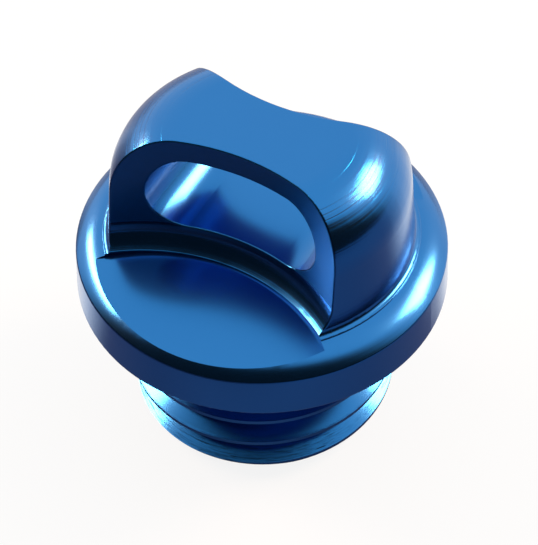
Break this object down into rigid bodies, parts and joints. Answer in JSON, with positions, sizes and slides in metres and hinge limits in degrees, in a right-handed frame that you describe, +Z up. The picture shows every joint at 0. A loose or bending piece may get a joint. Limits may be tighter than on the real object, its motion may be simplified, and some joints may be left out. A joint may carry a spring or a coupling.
{
  "type": "oil filler cap",
  "caption": "Screw-in engine oil filler cap in blue anodised aluminium, with a scooped two-sided grip, a slot through it, a coarse thread and a rubber seal ring.",
  "frame": {"origin": "On the thread's axis, in the plane of the flange's underside that faces the filler neck", "axes": "+Z up along the thread's axis towards the grip, X along the grip, Y through the slot"},
  "size_m": [0.027, 0.027, 0.0258],
  "materials": {
    "anodised_aluminium": "satin, blue anodised, fine turning marks",
    "seal_rubber": "matt black"
  },
  "bodies": {
    "root": {"cap_body": "anodised_aluminium", "seal_ring": "seal_rubber"}
  },
  "joints": []
}
